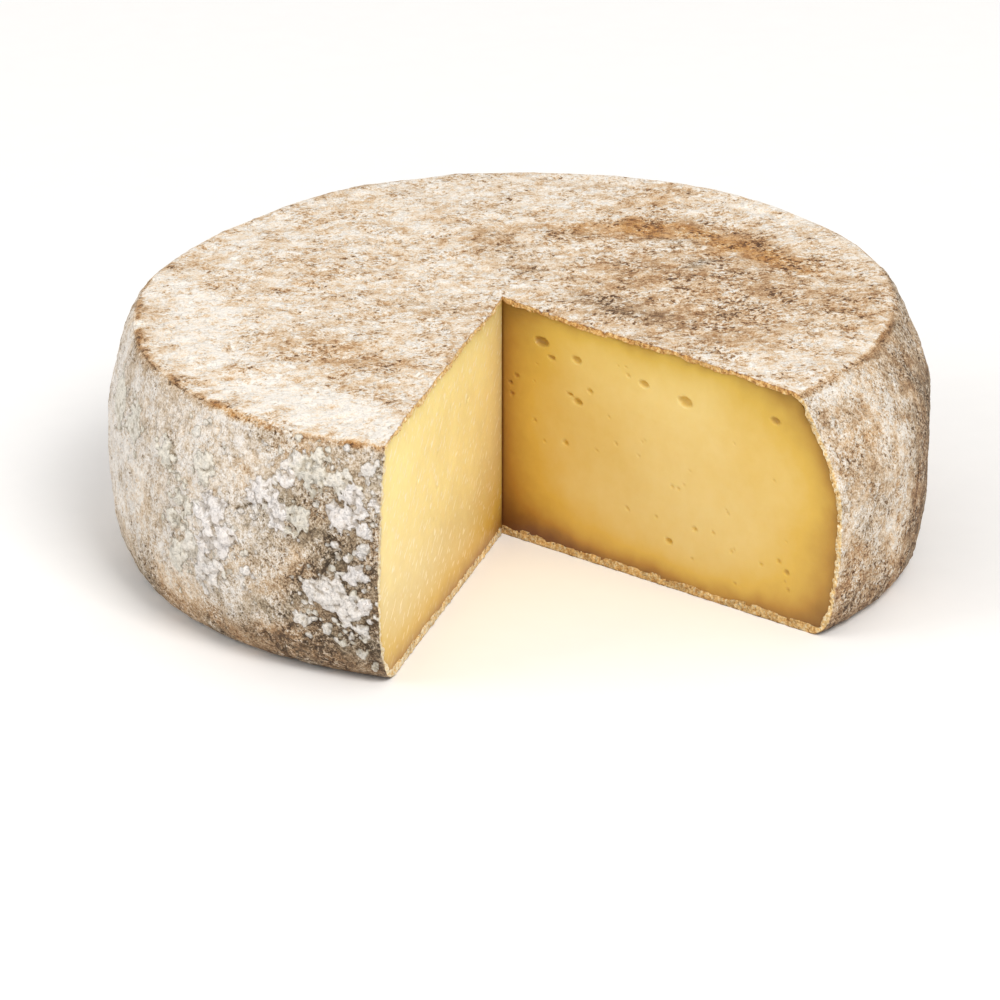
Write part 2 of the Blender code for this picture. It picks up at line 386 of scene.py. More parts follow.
# Eyes of the cut faces, in millimetres: (distance from the tip, height, width, tallness)
RIGHT_EYES = (
    (12.6, 53.2, 4.6, 2.5), (15.8, 49.9, 2.5, 1.3), (23.8, 51.2, 3.1, 2.0), (24.2, 40.6, 3.1, 1.7),
    (28.1, 44.3, 1.9, 1.3), (44.9, 50.2, 3.1, 1.8), (57.6, 48.8, 4.5, 2.7), (85.1, 50.8, 2.9, 1.9),
    (20.3, 29.0, 1.9, 1.5), (53.1, 12.0, 2.5, 1.5), (89.2, 13.5, 1.9, 1.5), (61.0, 17.2, 1.8, 1.2),
    (4.7, 42.6, 1.6, 1.1), (2.7, 40.4, 1.6, 1.1), (3.2, 37.6, 1.6, 1.3), (21.8, 41.9, 2.2, 0.9),
    (40.0, 51.2, 1.3, 1.1), (71.2, 23.9, 1.0, 0.9), (66.8, 17.7, 1.2, 0.9), (72.4, 14.5, 1.2, 0.9),
    (86.8, 15.7, 1.5, 1.2), (89.8, 9.2, 1.2, 0.9), (53.9, 26.3, 1.2, 0.9), (39.9, 17.2, 1.3, 0.9),
    (49.1, 17.3, 1.0, 0.9),
)
LEFT_EYES = (
    (30.0, 46.0, 1.6, 1.2), (56.0, 33.0, 1.7, 1.2), (72.0, 41.0, 1.5, 1.0),
)

# Pinhole eyes: how many are on each face, and their widths, distances and heights, each between two ends
TINY_EYES = {1: 26, -1: 8}
TINY_EYE_SEED = 7
TINY_EYE_SIZES = (0.7, 1.2)
TINY_EYE_DISTANCES = (8, 90)
TINY_EYE_HEIGHTS = (6, 56)
TINY_EYE_SHAPE = 0.75

# Colours as they look on a screen, 0 to 255
# The mould's second colour of each pair is painted shade in the gaps between its buds.
YOUNG_MOULD, YOUNG_MOULD_SHADED = (258, 252, 248), (206, 196, 186)
OLD_MOULD, OLD_MOULD_SHADED = (246, 240, 226), (200, 190, 170)
FLECK = (268, 254, 220)
FLOOR_TINTS = (261, 260, 259), (264, 263, 262)

# Ramps of such colours: (share, red, green, blue)
WARM_RIND = (
    (0.0, 256, 249, 239), (0.20, 246, 232, 213), (0.42, 222, 192, 155),
    (0.62, 186, 144, 100), (0.82, 142, 100, 62), (1.0, 98, 67, 42),
)
COOL_RIND = (
    (0.0, 250, 243, 235), (0.20, 231, 219, 205), (0.42, 200, 184, 162),
    (0.62, 160, 142, 116), (0.82, 122, 105, 82), (1.0, 88, 73, 55),
)
RUSTY_RIND = ((0.0, 250, 232, 200), (0.40, 219, 166, 98), (0.7, 178, 119, 56), (1.0, 104, 66, 34))
CUT_RIND = (
    (0.34, 126, 78, 38), (0.44, 188, 133, 70), (0.54, 223, 175, 104), (0.66, 243, 208, 146),
    (0.78, 255, 240, 206),
)
PASTE = (
    (0.0, 273, 253, 180), (0.25, 240, 214, 148), (0.5, 225, 184, 84), (0.75, 184, 134, 56),
    (1.0, 112, 66, 30),
)
OLIVE_PASTE = ((0.0, 246, 227, 124), (1.0, 144, 106, 26))

# Noises in the materials: (width in metres, detail, roughness), the top's first and then the wall's
SOFT = (0.0042, 6, 0.68), (0.0040, 6, 0.66)
FINE = (0.0010, 3, 0.75), (0.0009, 3, 0.75)
MARKS = (0.0015, 3, 0.65), (0.0011, 3, 0.65)
CHIPS = (0.0021, 4, 0.7), (0.0017, 4, 0.7)

# The same for noises that are one all over
CONTRAST = (0.008, 3, 0.6)
GRIT = (0.00045, 2, 0.6)
CUT_GRITS = (0.0009, 4, 0.7)
FLECKS = (0.0010, 1, 0.5)
MOTTLE = (0.004, 3, 0.6)
FLOOR_GRAIN = (0.01, 2, 0.55)

# Finishes: roughness, and how deep and strong the bump is
RIND_ROUGHNESS, RIND_BUMP, RIND_BUMP_STRENGTH = 0.85, 0.0005, 0.9
PASTE_ROUGHNESS, PASTE_BUMP, PASTE_BUMP_STRENGTH = 0.42, 0.0002, 0.5
FLOOR_ROUGHNESS = 0.9
FLECK_STRETCH = 0.30
PASTE_GLOW = {
    "Subsurface Weight": 0.2,
    "Subsurface Radius": (1.0, 0.7, 0.3),
    "Subsurface Scale": 0.005,
    "Specular IOR Level": 0.35,
}


# Noise, as whole arrays


def lattice_numbers(cells, seed):
    """A repeatable number from -1 to 1 for each cell of a cubic lattice: its place and the seed, multiplied
    by large odd numbers and folded over themselves until no order is left."""
    mixed = (cells @ LATTICE_STEPS + seed * SEED_STEP) & LOW_BITS
    mixed = ((mixed ^ (mixed >> 13)) * FOLD_STEP) & LOW_BITS
    return (mixed ^ (mixed >> 16)) / (LOW_BITS >> 1) - 1


def smooth_noise(points, width, seed):
    """Random numbers at the corners of a lattice of that width, eased from one to the next."""
    scaled = points / width
    cell = np.floor(scaled).astype(np.int64)
    ease = scaled - cell
    ease = ease * ease * (3 - 2 * ease)
    total = np.zeros(len(points))
    for step in np.ndindex(2, 2, 2):
        weight = np.prod(np.where(step, ease, 1 - ease), axis=1)
        total += weight * lattice_numbers(cell + np.array(step), seed)
    return total


def turned(points, seed):
    """The points turned about a skew axis by an angle of the seed's own, so that no lattice lines up."""
    return points @ np.array(Matrix.Rotation(FIRST_TURN + seed * TURN_STEP, 3, SKEW_AXIS))


def fractal(points, width, seed, octaves, keep):
    """Smooth noise plus finer and weaker copies of itself, each of half the width, from about -1 to 1."""
    total, weight, full = 0, 1.0, 0
    for octave in range(octaves):
        layer = smooth_noise(turned(points, seed + octave), width / 2**octave, seed + OCTAVE_STEP * octave)
        total = total + layer * weight
        full += weight
        weight *= keep
    return total / full * OCTAVE_GAIN


def domes(points, width, share, seed, middle, spread):
    """Round bumps of uneven size: one at most in each cell of a lattice, kept where its number is under
    share. Each is a half sphere's height, the root of one minus the squared distance over its radius, and
    the highest counts, from 0 to 1."""
    scaled = turned(points, seed) / width
    home = np.floor(scaled).astype(np.int64)
    height = np.zeros(len(points))
    for step in np.ndindex(3, 3, 3):
        cell = home + np.array(step) - 1
        numbers = [lattice_numbers(cell, seed + k) for k in range(5)]
        centre = cell + 0.5 + DOME_WANDER * np.stack(numbers[:3], axis=-1)
        radius = middle + spread * numbers[3]
        gap = np.linalg.norm(scaled - centre, axis=1) / radius
        rise = np.sqrt(np.clip(1 - gap**2, 0, 1)) * (numbers[4] * 0.5 + 0.5 < share)
        height = np.maximum(height, rise)
    return height


def eased(value, low, high):
    """0 below low, 1 above high, and an even S between."""
    share = np.clip((value - low) / (high - low), 0, 1)
    return share * share * (3 - 2 * share)


def band(value, start, full, ending, end):
    """0 up to the start, 1 from full to ending, and 0 again from the end on."""
    return eased(value, start, full) * (1 - eased(value, ending, end))


# The wheel's form


def waves(bearing, table):
    """The sum of the table's cosine waves at each bearing, in radians."""
    return sum(size * np.cos(count * (bearing - math.radians(crest))) for count, size, crest in table)


def wall_radius(bearing, height):
    """The wall bulges out to the wheel's radius at the belly, and draws in above and below it by powers."""
    belly = BELLY_HEIGHT + waves(bearing, BELLY_WAVES)
    shoulder = SHOULDER_RADIUS + waves(bearing, SHOULDER_WAVES)
    foot = FOOT_RADIUS + waves(bearing, FOOT_WAVES)
    above = np.clip((height - belly) / (WHEEL_HEIGHT - belly), 0, 1)
    below = np.clip((belly - height) / belly, 0, 1)
    drawn_in = (WHEEL_RADIUS - shoulder) * above**SHOULDER_CURVE
    return WHEEL_RADIUS - drawn_in - (WHEEL_RADIUS - foot) * below**FOOT_CURVE


def bent(start, corner, end, share):
    """A quadratic curve from start to end that bends towards the corner."""
    return (1 - share) ** 2 * start + 2 * share * (1 - share) * corner + share**2 * end


def section(stage, bearing):
    """Radius and height of the outside at stages 1 to 4: foot rounding, wall, shoulder rounding."""
    wall_top = WHEEL_HEIGHT - SHOULDER_ROUNDING
    foot = wall_radius(bearing, 0.0)
    shoulder = wall_radius(bearing, WHEEL_HEIGHT)
    low, high = np.clip(stage - 1, 0, 1), np.clip(stage - 3, 0, 1)
    wall_height = FOOT_ROUNDING + np.clip(stage - 2, 0, 1) * (wall_top - FOOT_ROUNDING)
    foot_radius = bent(foot - FOOT_ROUNDING, foot, wall_radius(bearing, FOOT_ROUNDING), low)
    foot_height = bent(0, 0, FOOT_ROUNDING, low)
    top_radius = bent(wall_radius(bearing, wall_top), shoulder, shoulder - SHOULDER_ROUNDING, high)
    top_height = bent(wall_top, WHEEL_HEIGHT, WHEEL_HEIGHT, high)
    on_foot, on_shoulder = stage < 2, stage > 3
    radius = np.where(on_shoulder, top_radius, wall_radius(bearing, wall_height))
    height = np.where(on_shoulder, top_height, wall_height)
    return np.where(on_foot, foot_radius, radius), np.where(on_foot, foot_height, height)


def way(heading):
    """Level unit vectors along headings."""
    return np.stack([np.sin(heading), -np.cos(heading)], axis=-1)


def bearing_of(spot):
    """Bearing of a spot in the level plane, in radians."""
    return np.arctan2(spot[..., 0], -spot[..., 1])


def reach(stage, heading):
    """Distance from the tip to the outside along each heading, and the height there. The distance fixes a
    bearing, and the bearing a radius, which gives a better distance. A few such turns are enough."""
    stage, heading = np.broadcast_arrays(stage, heading)
    ahead = way(heading) @ WEDGE_TIP
    distance = np.full(heading.shape, WHEEL_RADIUS)
    for _ in range(SUBSTITUTIONS):
        bearing = bearing_of(WEDGE_TIP + distance[..., None] * way(heading))
        radius, height = section(stage, bearing)
        radius = radius * (1 + waves(bearing, OUTLINE_WAVES))
        distance = np.sqrt(ahead**2 - WEDGE_TIP @ WEDGE_TIP + radius**2) - ahead
    return distance, height


def placed(distance, height, heading):
    """Points at distances from the tip, with the wheel's top sloped."""
    spot = WEDGE_TIP + distance[..., None] * way(heading)
    uphill = spot @ way(math.radians(TOP_SLOPE_BEARING))
    return np.concatenate([spot, (height * (1 + TOP_SLOPE * uphill / WHEEL_HEIGHT))[..., None]], axis=-1)


HALF_WEDGE = math.radians(WEDGE_ANGLE / 2)
FIRST_HEADING, LAST_HEADING = HALF_WEDGE, 2 * math.pi - HALF_WEDGE


def headings(columns):
    """Headings from the right cut round to the left one, at steps that differ from part to part."""
    share = np.interp(np.linspace(0, 1, columns), COLUMN_SHARES, TURN_SHARES)
    return FIRST_HEADING + (LAST_HEADING - FIRST_HEADING) * share


HEADINGS = headings(COLUMNS)
STAGES = np.concatenate([
    np.linspace(1, 2, FOOT_ROWS, endpoint=False),
    np.linspace(2, 3, WALL_ROWS, endpoint=False),
    np.linspace(3, 4, SHOULDER_ROWS),
])
SEAM = FOOT_ROWS + WALL_ROWS + SHOULDER_ROWS // 2
BACK = COLUMNS // 2
INSETS = np.linspace(0, RIND_REACH, RIND_CHAINS + 1)


# Meshes made of chains of points


class Chains:
    """A surface under construction: rows of points in chains, and the triangles that join the chains."""

    def __init__(self):
        self.rows, self.triangles, self.size = [], [], 0

    def add(self, rows):
        """Adds a chain's rows, one for each point, and returns their numbers."""
        self.rows.append(rows)
        self.size += len(rows)
        return np.arange(self.size - len(rows), self.size)

    def join(self, one, other):
        """Triangles between two chains that run the same way: each takes the next point of whichever chain
        has come less far."""
        one_ends = np.linspace(0, 1, len(one))[1:]
        other_ends = np.linspace(0, 1, len(other))[1:] + 1e-9
        order = np.argsort(np.concatenate([one_ends, other_ends]), kind="stable")
        on_other = order >= len(one_ends)
        at_other = np.cumsum(on_other) - on_other
        at_one = np.cumsum(~on_other) - ~on_other
        ahead_one = one[np.minimum(at_one + 1, len(one) - 1)]
        ahead_other = other[np.minimum(at_other + 1, len(other) - 1)]
        ahead = np.where(on_other, ahead_other, ahead_one)
        corners = np.stack([one[at_one], ahead, other[at_other]], axis=1)
        a, b, c = corners.T
        self.triangles.append(corners[(a != b) & (b != c) & (a != c)])

    def join_all(self, chains):
        """Joins each chain to the next."""
        for one, other in zip(chains, chains[1:]):
            self.join(one, other)

    def table(self):
        """All rows and all triangles so far, as two arrays."""
        return np.concatenate(self.rows), np.concatenate(self.triangles)


def resampled(rows, count):
    """The same rows at count even steps from the first to the last."""
    at = np.linspace(0, len(rows) - 1, count)
    return np.stack([np.interp(at, np.arange(len(rows)), column) for column in rows.T], axis=1)


def rind_rows(skin, outward, stage):
    """A chain's rows: the skin's point, outwards there, the cut's direction, depth, stage and zone."""
    rows = np.zeros((len(skin), 12))
    rows[:, :3] = skin
    rows[:, 3:6] = outward
    rows[:, 10] = stage
    rows[:, 11] = SKIN
    return rows


def deeper(rows, inset, zone):
    """The same rows further in from the skin."""
    rows = rows.copy()
    rows[:, 9] = inset
    rows[:, 11] = zone
    return rows


def cut_normal(side):
    """Level unit vector from a cut face into the gap: side is -1 for the left face and 1 for the right."""
    return np.array([-side * math.cos(HALF_WEDGE), -math.sin(HALF_WEDGE), 0.0])


def facing_cut(rows, side):
    """The same rows with the way out of that side's cut noted."""
    rows = rows.copy()
    rows[:, 6:9] = cut_normal(side)
    return rows


def outside_grid():
    """Distances, skin points and outward directions of the outside, for every stage 1 to 4 and heading. The
    way out is square to the section's own slope."""
    distance, height = reach(STAGES[:, None], HEADINGS[None, :])
    along = np.stack([np.gradient(distance, axis=0), np.gradient(height, axis=0)], axis=-1)
    along /= np.linalg.norm(along, axis=-1, keepdims=True)
    level = along[..., 1:] * way(HEADINGS)[None]
    outward = np.concatenate([level, -along[..., :1]], axis=-1)
    return distance, placed(distance, height, np.broadcast_to(HEADINGS, height.shape)), outward


def build_disc(rings):
    """A closed layer of rind from rings of rows that end at the tip: skin, cut edge, seam wall, inside."""
    made = Chains()
    skin = [made.add(ring) for ring in rings]
    made.join_all(skin)
    right = facing_cut(np.concatenate([ring[:1] for ring in rings]), 1)
    left = facing_cut(np.concatenate([ring[-1:] for ring in rings]), -1)
    cut_rows = resampled(np.concatenate([right, left[-2::-1]]), 4 * len(rings) - 3)
    seam_rows = resampled(rings[0], HIDDEN_COLUMNS)
    cuts = [np.concatenate([[chain[0] for chain in skin], [chain[-1] for chain in skin[-2::-1]]])]
    seams = [skin[0]]
    for inset in INSETS[1:]:
        cut = made.add(deeper(cut_rows, inset, CUT))
        inner = made.add(deeper(seam_rows[1:-1], inset, HIDDEN))
        cuts.append(cut)
        seams.append(np.concatenate([cut[:1], inner, cut[-1:]]))
    made.join_all(cuts)
    made.join_all(seams)
    inside = [seams[-1]]
    for share in np.linspace(1, 0, HIDDEN_ROWS)[1:-1]:
        ring = rings[int(round((1 - share) * (len(rings) - 1)))]
        count = max(4, round(HIDDEN_COLUMNS * share))
        inside.append(made.add(deeper(resampled(ring, count + 2)[1:-1], RIND_REACH, HIDDEN)))
    pole = deeper(rings[-1], RIND_REACH, HIDDEN)
    pole[:, 1] += POLE_BACK
    inside.append(made.add(pole))
    made.join_all(inside)
    edge = [chain[0] for chain in inside] + [chain[-1] for chain in inside[-2::-1]]
    made.join(cuts[-1], np.array(edge))
    return made.table()


def build_wall(grid, cut_side):
    """A closed band of rind from rows of skin, foot to shoulder, with a cut edge at the cut side's end."""
    made = Chains()
    skin = [made.add(row) for row in grid]
    made.join_all(skin)
    ends = {}
    for side, at in ((1, 0), (-1, -1)):
        rows = facing_cut(np.stack([row[at] for row in grid]), side)
        rows = resampled(rows, 2 * len(rows) - 1)
        zone = CUT if side == cut_side else HIDDEN
        ends[side] = [np.array([chain[at] for chain in skin])]
        ends[side] += [made.add(deeper(rows, inset, zone)) for inset in INSETS[1:]]
        made.join_all(ends[side])
    inside = []
    for at in (0, -1):
        seam_rows = resampled(grid[at], HIDDEN_COLUMNS)[1:-1]
        seams = [skin[at]]
        for k, inset in enumerate(INSETS[1:], start=1):
            inner = made.add(deeper(seam_rows, inset, HIDDEN))
            seams.append(np.concatenate([[ends[1][k][at]], inner, [ends[-1][k][at]]]))
        made.join_all(seams)
        inside.append(seams[-1])
    picks = np.linspace(0, len(grid) - 1, HIDDEN_ROWS).round().astype(int)[1:-1]
    hidden = [resampled(grid[k], HIDDEN_COLUMNS + 2)[1:-1] for k in picks]
    middle = [made.add(deeper(rows, RIND_REACH, HIDDEN)) for rows in hidden]
    inside = [inside[0], *middle, inside[1]]
    made.join_all(inside)
    for side, at in ((1, 0), (-1, -1)):
        made.join(ends[side][-1], np.array([chain[at] for chain in inside]))
    return made.table()


def finished(name, points, triangles, fields):
    """A mesh object with outward faces, smooth but for its sharp edges, with the fields as attributes."""
    data = bpy.data.meshes.new(name)
    data.from_pydata(points + AXIS_AT, [], triangles)
    for field, values in fields.items():
        data.attributes.new(field, "FLOAT", "POINT").data.foreach_set("value", values.astype(np.float32))
    mesh = bmesh.new()
    mesh.from_mesh(data)
    bmesh.ops.recalc_face_normals(mesh, faces=mesh.faces)
    if mesh.calc_volume(signed=True) < 0:
        bmesh.ops.reverse_faces(mesh, faces=mesh.faces)
    mesh.to_mesh(data)
    mesh.free()
    data.shade_smooth()
    data.set_sharp_from_angle(angle=SHARPEST_SMOOTH)
    piece = bpy.data.objects.new(name, data)
    bpy.context.scene.collection.objects.link(piece)
    return piece


# Stains and relief of the rind


def blots(across, up, table, ragged):
    """Soft ellipses, each its strength in the middle and 0 outside, with edges that the ragged noise pushes
    in and out. Where they overlap they add up. All in millimetres."""
    total = np.zeros(len(across))
    for x, y, length, width, turn, strength in table:
        side, rise = math.cos(math.radians(turn)), math.sin(math.radians(turn))
        along = ((across - x) * side + (up - y) * rise) / length
        aslant = ((up - y) * side - (across - x) * rise) / width
        total += strength * (1 - eased(np.hypot(along, aslant) + ragged, *BLOT_EDGE))
    return total


def window(degrees, centre, half, soft):
    """1 within half of the centre bearing and 0 beyond half plus soft, all in degrees."""
    gap = np.abs((degrees - centre + 180) % 360 - 180)
    return 1 - eased(gap, half, half + soft)


def lumps_at(points):
    """The solid's own low lumps."""
    fade = np.clip((points[:, 2] - LUMPS_START) / (LUMPS_FULL - LUMPS_START), 0, 1)
    return fade * sum(depth * smooth_noise(points, width, seed) for width, depth, seed in LUMPS)


def drawn_out(points):
    """The points squeezed along the way the top was wiped, so that a noise read there is drawn out."""
    turn = math.radians(SMEAR_TURN)
    along = points[:, :2] @ np.array([math.cos(turn), math.sin(turn)])
    aslant = points[:, :2] @ np.array([-math.sin(turn), math.cos(turn)])
    return np.stack([along / SMEAR, aslant, points[:, 2]], axis=1)


def cracks(bearing, height, bend):
    """1 along each crack and 0 beside it: a bell of the distance to the line from one end to the other."""
    depth = np.zeros(len(bearing))
    spot = np.stack([bearing * WALL_DEGREE, height], axis=1) + bend[:, None]
    for first, low, last, high in CRACKS:
        start = np.array((first * WALL_DEGREE, low))
        run = np.array((last * WALL_DEGREE, high)) - start
        share = np.clip((spot - start) @ run / (run @ run), 0, 1)
        gap = np.linalg.norm(spot - start - share[:, None] * run, axis=1)
        depth = np.maximum(depth, np.exp(-((gap / CRACK_WIDTH) ** 2)))
    return depth


def granules():
    """Small round colonies, each drawn near one of the large ones: (bearing, height, radius, whiteness)."""
    draw = np.random.RandomState(GRANULE_SEED)
    near = np.array(COLONIES)[draw.randint(0, len(COLONIES), GRANULES)]
    near[:, 0] += draw.normal(0, GRANULE_SPREAD[0], GRANULES)
    near[:, 1] += draw.normal(0, GRANULE_SPREAD[1], GRANULES)
    near[:, 2] = draw.uniform(*GRANULE_RADII, GRANULES)
    near[:, 3] *= draw.uniform(*GRANULE_WHITENESS, GRANULES)
    return near


def colony_height(bearing, height, points):
    """Mould colonies: flattened domes, the root of one minus the squared distance over the radius, with
    lobed and nicked outlines, each covered with small round buds.

    Returns their height from 0 to 1, how much each covers, how creamy it is and the painted shade round its
    foot."""
    lift, cover, cream, colony_shade = np.zeros((4, len(points)))
    first, last = MOULDY_BEARINGS
    near = (bearing > first) & (bearing < last)
    if not near.any():
        return lift, cover, cream, colony_shade
    bearing, height, points = bearing[near], height[near], points[near]
    lobes, nicks = fractal(points, *COLONY_LOBES), fractal(points, *COLONY_NICKS)
    clump, pale = np.zeros((2, len(points)))
    closest = np.full(len(points), NO_COLONY)
    for at, up, radius, whiteness in np.concatenate([np.array(COLONIES), granules()]):
        large = min(1, radius / LOBED_RADIUS)
        gap = np.hypot((bearing - at) * WALL_DEGREE, height - up) / radius
        gap += 0.5 * large * lobes + (0.6 - 0.4 * large) * nicks
        rise = np.sqrt(np.clip(1 - gap**2, 0, 1)) * min(1.0, 0.35 + radius / 5)
        higher = rise > clump
        clump = np.where(higher, rise, clump)
        pale = np.where(higher, whiteness, pale)
        closest = np.minimum(closest, (gap - 1) * radius)
    buds = domes(points, *BUDS) * (0.7 + 0.3 * domes(points, *FINE_BUDS))
    lift[near] = clump * (0.25 + 0.75 * buds)
    # The cover thins between the buds, a painted shade in the hollows there.
    cover[near] = np.minimum(clump * 2.2, 1) * (0.66 + 0.34 * eased(buds, 0.1, 0.6))
    cream[near] = np.clip(2.4 - 2.4 * pale, 0, 1)
    colony_shade[near] = np.exp(-np.maximum(closest, 0) / COLONY_SHADE_REACH)
    return lift, cover, cream, colony_shade


def along_wall(table):
    """A table of stains on the wall with its bearings turned into millimetres round it."""
    return [(bearing * WALL_DEGREE, *others) for bearing, *others in table]


def rind_looks(rows):
    """Relief and colour fields for every point of the rind. Each is a sum: its own level, its stains, three
    sizes of blotch, and the parts of the wheel that differ. The wall and the top each have blotches of their
    own, which change over at the shoulder."""
    skin, stage = rows[:, :3], rows[:, 10]
    bearing = np.degrees(bearing_of(skin[:, :2]))
    x, y, height = (skin / MM).T
    wall = 1 - eased(stage, *WALL_TO_TOP)
    flat = drawn_out(skin)
    arc = np.where(bearing > WALL_SEAM, bearing - 360, bearing) * WALL_DEGREE

    def either(top, side):
        """The top's values on the top and the wall's on the wall."""
        return top * (1 - wall) + side * wall

    broad = fractal(skin, *BROAD)
    blotch = either(fractal(flat, *TOP_BLOTCH), fractal(skin, *WALL_BLOTCH))
    patch = either(fractal(flat, *TOP_PATCH), fractal(skin * WALL_DRAW, *WALL_PATCH))
    grain = fractal(skin, *GRAIN)
    ragged = 0.35 * blotch + 0.2 * patch

    left = window(bearing, *LEFT_PART)
    right = window(bearing, *RIGHT_PART)
    behind = 1 - np.maximum(left, right)
    cut_side = eased(bearing, *CUT_SIDE_BEARINGS)
    lift, white, cream, colony_shade = colony_height(bearing, height, skin)
    spread = eased(fractal(skin, *BACK_MOULD) + 0.4 * broad, 0.24, 0.80) * behind
    lift = np.maximum(lift, BACK_MOULD_LIFT * spread) * wall
    white = np.maximum(white, 0.7 * spread) * wall

    mottled = eased(blotch + 0.5 * patch, -0.5, 0.5)
    shoulder = np.zeros((4, len(rows)))
    for stages, place, least, *adds in SHOULDER_STAINS:
        stain = band(stage, *stages) * window(bearing, *place) * (least + (1 - least) * mottled)
        shoulder += np.outer(adds, stain)
    darker, rustier, greyer, deeper_set = shoulder
    darker += BACK_SHOULDER_TONE * band(stage, *BACK_SHOULDER) * behind * eased(patch + blotch, 0.0, 0.6)

    top_tone = TOP_TONE + TOP_STAIN * blots(x, y, TOP_TONES, ragged)
    top_tone += TOP_SPOT * blots(x, y, TOP_SPOTS, ragged)
    top_tone += (0.07 * blotch + 0.08 * patch) * (0.65 + 0.8 * np.clip(top_tone, 0, 0.6))
    crack = cracks(bearing, height, 0.7 * patch + 0.3 * grain)
    side_tone = WALL_TONE + LEFT_TONE * left + RIGHT_TONE * right + BACK_TONE * behind
    side_tone += FOOT_TONE * (1 - eased(height, 2, 24))
    # Painted shade on the far right of the wall, lighter towards its top.
    side_tone += FAR_RIGHT_PAINTED_SHADE * window(bearing, *FAR_RIGHT_SHADE_SPAN) * (1 - 0.7 * eased(height, 36, 54))
    side_tone += WALL_STAIN * blots(arc, height, along_wall(WALL_TONES), ragged)
    side_tone += 0.08 * blotch + 0.07 * patch + (0.05 + 0.12 * behind) * broad
    side_tone += left * cut_side * (CUT_SIDE_TONE + 0.10 * (1 - eased(height, 34, 52)))
    # Painted shade round the foot of each colony darkens the wall beside it.
    side_tone = np.minimum(side_tone + colony_shade * (0.04 + 0.08 * cut_side), DARKEST_WALL) + CRACK_TONE * crack
    tone = either(top_tone, side_tone) - 0.05 * patch - 0.08 * grain + darker

    rust = either(blots(x, y, TOP_OCHRES, ragged), blots(arc, height, along_wall(WALL_OCHRES), ragged))
    ochre = rust * (0.7 + 0.5 * patch) + rustier
    grey_top = 0.5 * blots(x, y, TOP_GREYS, ragged) + 0.10 * blotch
    grey_side = LEFT_GREY * left + RIGHT_GREY * right + BACK_GREY * behind + 0.34 * blotch + 0.12 * patch
    # The grey of the painted shade on the far right of the wall.
    grey_side += FAR_RIGHT_SHADE_GREYER * window(bearing, *FAR_RIGHT_SHADE_GREY_SPAN)
    grey = either(grey_top, grey_side) + greyer

    rougher = WALL_LIFT * wall
    relief = BARE_LEVEL + BLOTCH_LIFT * blotch + (PATCH_LIFT + rougher) * patch
    relief += (GRAIN_LIFT + rougher) * grain
    relief -= PIT_DEPTH * eased(-patch - grain, 0.55, 1.1) + SHOULDER_DEPTH * deeper_set
    relief += lift * COLONY_HEIGHT - CRACK_DEPTH * crack * wall
    relief = np.minimum(relief, 0.0) + np.clip(relief, 0, None) * window(bearing, *PROUD_PART)
    relief *= eased(stage, *UNDER_TO_WALL)
    fields = {"tone": np.clip(tone, 0, 1), "grey": np.clip(grey, 0, 1), "ochre": np.clip(ochre, 0, 1),
              "mould": np.clip(white, 0, 1), "cream": cream, "wall": wall}
    return relief, fields


def cut_edge_relief(rows):
    """How far the rind's cut edge stands out of the cut: crumbs near the skin, then down under the paste."""
    skin, inset = rows[:, :3], rows[:, 9]
    depth_point = skin - rows[:, 3:6] * inset[:, None]
    width = np.interp(rows[:, 10], THICKNESS_STAGES, (BOTTOM_RIND, WALL_RIND, WALL_RIND, TOP_RIND))
    width = width + RIND_WANDER * fractal(skin, *CUT_WANDER)
    crumbs = fractal(depth_point, *CRUMBS)
    proud = CRUMB_HEIGHT * (0.5 + 0.9 * crumbs) * eased(inset, 0, CRUMB_START)
    sink = eased(inset, width + SUNK_FROM, width + SUNK_TO)
    from_tip = np.linalg.norm(skin[:, :2] - WEDGE_TIP, axis=1)
    return (proud * (1 - sink) - SUNK * sink) * eased(from_tip, 0, TIP_CALM)


def dress_rind(name, rows, triangles):
    """A piece of rind with its relief: its rows move out along the skin's own way out by lumps and relief
    less their depth, and at a cut also out of the cut."""
    relief, fields = rind_looks(rows)
    inset, zone = rows[:, 9], rows[:, 11]
    shown = np.where(zone == HIDDEN, 0, 1 - inset / RIND_REACH)
    rise = (lumps_at(rows[:, :3]) + relief * shown - inset)[:, None] * rows[:, 3:6]
    across = np.where(zone == CUT, cut_edge_relief(rows), 0)[:, None] * rows[:, 6:9]
    fields["crumb"] = np.where(zone == CUT, 1.0, 0.0)
    fields["inset"] = inset / RIND_REACH
    # Painted light: the cut edge's crumbs are lighter on the left cut, which faces the light.
    fields["lit"] = eased(rows[:, 6], 0, 0.5)
    fields["low"] = 1 - eased(rows[:, 10], 1.0, 2.0)
    return finished(name, rows[:, :3] + rise + across, triangles, fields)


def disc_rings(edge_distance, height, count, down):
    """Rings of rows whose distance from the tip shrinks evenly to none, with columns in proportion."""
    rings = []
    for share in np.linspace(1, 0, count + 1):
        columns = max(4, round(COLUMNS * share)) if share else 1
        heading = headings(columns)
        distance = share * np.interp(heading, HEADINGS, edge_distance)
        skin = placed(distance, np.full(heading.shape, height), heading)
        rings.append(rind_rows(skin, (0, 0, -1 if down else 1), share if down else 5 - share))
    return rings


def make_rinds():
    """The rind in four closed layers: the top, the two halves of the wall and the underside."""
    distance, skin, outward = outside_grid()
    grid = [rind_rows(skin[k], outward[k], STAGES[k]) for k in range(len(STAGES))]
    top = disc_rings(distance[-1], WHEEL_HEIGHT, TOP_RINGS, down=False)
    underside = [grid[0][::2], *disc_rings(distance[0], 0.0, UNDERSIDE_RINGS, down=True)[1:]]
    wall = grid[:SEAM + 1]
    return [
        dress_rind("rind_top", *build_disc(grid[SEAM:-1] + top)),
        dress_rind("rind_right", *build_wall([row[:BACK + 1] for row in wall], 1)),
        dress_rind("rind_left", *build_wall([row[BACK:] for row in wall], -1)),
        dress_rind("rind_underside", *build_disc(underside)),
    ]


# The paste


